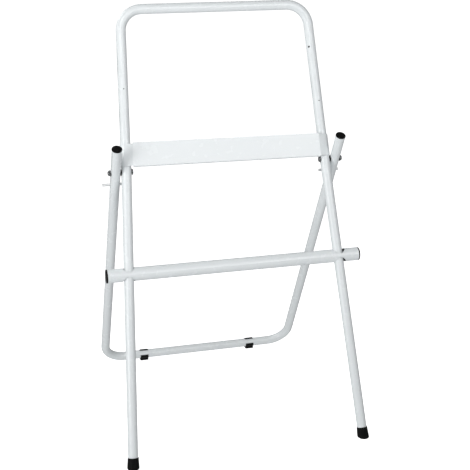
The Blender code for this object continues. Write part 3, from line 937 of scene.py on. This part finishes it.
def build_nut(side, label, axis):
    """A cap nut: a hexagon with chamfered corners under a dome."""
    low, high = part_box("pivot_nut_" + label)
    near, far = sorted((side * low.x, side * high.x))
    flats = NUT_HALF_FLATS
    hex_end = near + NUT_HEX_T
    sides = NUT_SIDES
    first, second = square_to(axis)

    def hexagon(angle):
        corner = (angle + math.pi / 6) % (math.pi / 3) - math.pi / 6
        return min(flats / math.cos(corner), flats * 1.13)

    def ring(distance, radius_at):
        made = []
        for k in range(sides):
            angle = 2 * math.pi * k / sides
            arm = first * math.cos(angle) + second * math.sin(angle)
            made.append(bm.verts.new(PIVOT + axis * distance + arm * radius_at(angle)))
        return made

    bm = bmesh.new()
    rings = [
        ring(near, lambda a: flats * 0.96),
        ring(near + 0.15 * MM, lambda a: min(hexagon(a), flats * 1.02)),
        ring(near + 0.7 * MM, hexagon),
        ring(hex_end - 0.8 * MM, hexagon),
        ring(hex_end - 0.3 * MM, lambda a: min(hexagon(a), flats * 1.05)),
        ring(hex_end, lambda a: flats * 0.95),
        ring(hex_end + 0.1 * MM, lambda a: flats * 0.9),
    ]
    for k in range(1, NUT_DOME_STEPS):
        angle = k / NUT_DOME_STEPS * math.pi / 2
        rise = (far - hex_end) * math.sin(angle)
        rings.append(ring(hex_end + rise, lambda a, c=math.cos(angle): flats * 0.88 * c))
    for ring_a, ring_b in zip(rings[:-1], rings[1:]):
        bridge(bm, ring_a, ring_b)
    bm.faces.new(rings[0])
    tip = bm.verts.new(PIVOT + axis * far)
    for i in range(sides):
        bm.faces.new((tip, rings[-1][i], rings[-1][(i + 1) % sides]))
    nut = new_object("pivot_nut_look_" + label, bm, [ZINC], 28)
    stand_for(nut, "pivot_nut_" + label)


def build_pins():
    for side, label in SIDES:
        low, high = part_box("lock_pin_" + label)
        radius = (high.z - low.z) / 2
        centre = Vector((0, (low.y + high.y) / 2, (low.z + high.z) / 2))
        near, far = sorted((side * low.x, side * high.x))
        profile = eased([(0, near, 0), (radius, near, 0.9 * MM), (radius, far, 0.9 * MM), (0, far, 0)])
        pin = new_object("lock_pin_look_" + label, lathe(profile, centre, ALONG_X * side), [PIN_ZINC])
        stand_for(pin, "lock_pin_" + label)


# ---------------------------------------------------------------- studio and camera


def build_studio():
    """A pale floor and surround that glow. Neither lights the object: the lamps and the world do."""
    bm = bmesh.new()
    half = 30
    bm.faces.new([bm.verts.new((x * half, y * half, 0)) for x, y in ((-1, -1), (1, -1), (1, 1), (-1, 1))])
    material, tree, shader = new_material("studio_floor", (0.9, 0.9, 0.9), 0.9)
    clouds = noise(tree, object_coordinates(tree), 1.3, detail=3)
    tint = ramp(tree, clouds, [(0.3, (0.895, 0.895, 0.895)), (0.7, (0.905, 0.905, 0.905))])
    tree.links.new(tint, shader.inputs["Base Color"])
    shader.inputs["Specular IOR Level"].default_value = 0.1
    shader.inputs["Emission Color"].default_value = (1, 1, 1, 1)
    shader.inputs["Emission Strength"].default_value = FLOOR_GLOW
    floor = new_object("studio_floor", bm, [material])

    bm = bmesh.new()
    bmesh.ops.create_uvsphere(bm, u_segments=48, v_segments=24, radius=half * 0.9)
    material, tree, shader = new_material("studio_surround", (0, 0, 0), 1.0)
    shader.inputs["Emission Color"].default_value = (1, 1, 1, 1)
    shader.inputs["Emission Strength"].default_value = 1.0
    surround = new_object("studio_surround", bm, [material])
    surround.visible_shadow = False
    for stage in (floor, surround):
        stage.visible_diffuse = False
        stage.visible_glossy = False


def lamp_object(name, light, place, aim):
    lamp = bpy.data.objects.new(name, light)
    bpy.context.scene.collection.objects.link(lamp)
    lamp.location = place
    lamp.rotation_euler = (Vector(aim) - Vector(place)).to_track_quat("-Z", "Y").to_euler()
    lamp.visible_camera = False


def build_lights():
    """Soft lamps around the front, one behind, and the world."""
    for name, place, size, watts in LAMPS:
        light = bpy.data.lights.new(name, "AREA")
        light.shape = "RECTANGLE"
        light.size, light.size_y = size
        light.energy = watts
        lamp_object(name, light, place, PIVOT)

    world = bpy.data.worlds.new("studio")
    world.use_nodes = True
    bpy.context.scene.world = world
    tree = world.node_tree
    background = tree.nodes["Background"]
    coordinates = tree.nodes.new("ShaderNodeTexCoord")
    toward = tree.nodes.new("ShaderNodeVectorMath")
    toward.operation = "DOT_PRODUCT"
    toward.inputs[1].default_value = Vector(WORLD_FROM).normalized()
    tree.links.new(coordinates.outputs["Generated"], toward.inputs[0])
    spread = tree.nodes.new("ShaderNodeMapRange")
    spread.inputs["From Min"].default_value = -1
    spread.inputs["From Max"].default_value = 1
    tree.links.new(toward.outputs["Value"], spread.inputs["Value"])
    tree.links.new(ramp(tree, spread.outputs["Result"], WORLD_RAMP), background.inputs["Color"])
    background.inputs["Strength"].default_value = 1.0
    bpy.context.scene.view_settings.view_transform = "Standard"


def build_camera():
    """The photograph's view: a long lens a little left of centre, above the object and looking down at it."""
    turn, dip, tilt = math.radians(14.688), math.radians(17.769), math.radians(-0.275)
    focal_mm = 78.36
    eye = Vector((-0.6183, -2.5154, 1.3082))
    forward = Vector((math.sin(turn) * math.cos(dip), math.cos(turn) * math.cos(dip), -math.sin(dip)))
    right = Vector((math.cos(turn), -math.sin(turn), 0))
    up = right.cross(forward)
    level_right = right * math.cos(tilt) + up * math.sin(tilt)
    level_up = up * math.cos(tilt) - right * math.sin(tilt)
    data = bpy.data.cameras.new("camera")
    data.lens = focal_mm
    data.sensor_width = 36
    camera = bpy.data.objects.new("camera", data)
    bpy.context.scene.collection.objects.link(camera)
    axes = Matrix((level_right, level_up, -forward)).transposed()
    camera.matrix_world = Matrix.Translation(eye) @ axes.to_4x4()
    bpy.context.scene.camera = camera


def main():
    build_front_hoop()
    build_crossbar()
    build_plate()
    build_feet()
    build_rear_frame()
    build_plugs()
    build_glides()
    build_pivots()
    build_pins()
    build_studio()
    build_lights()
    build_camera()


main()
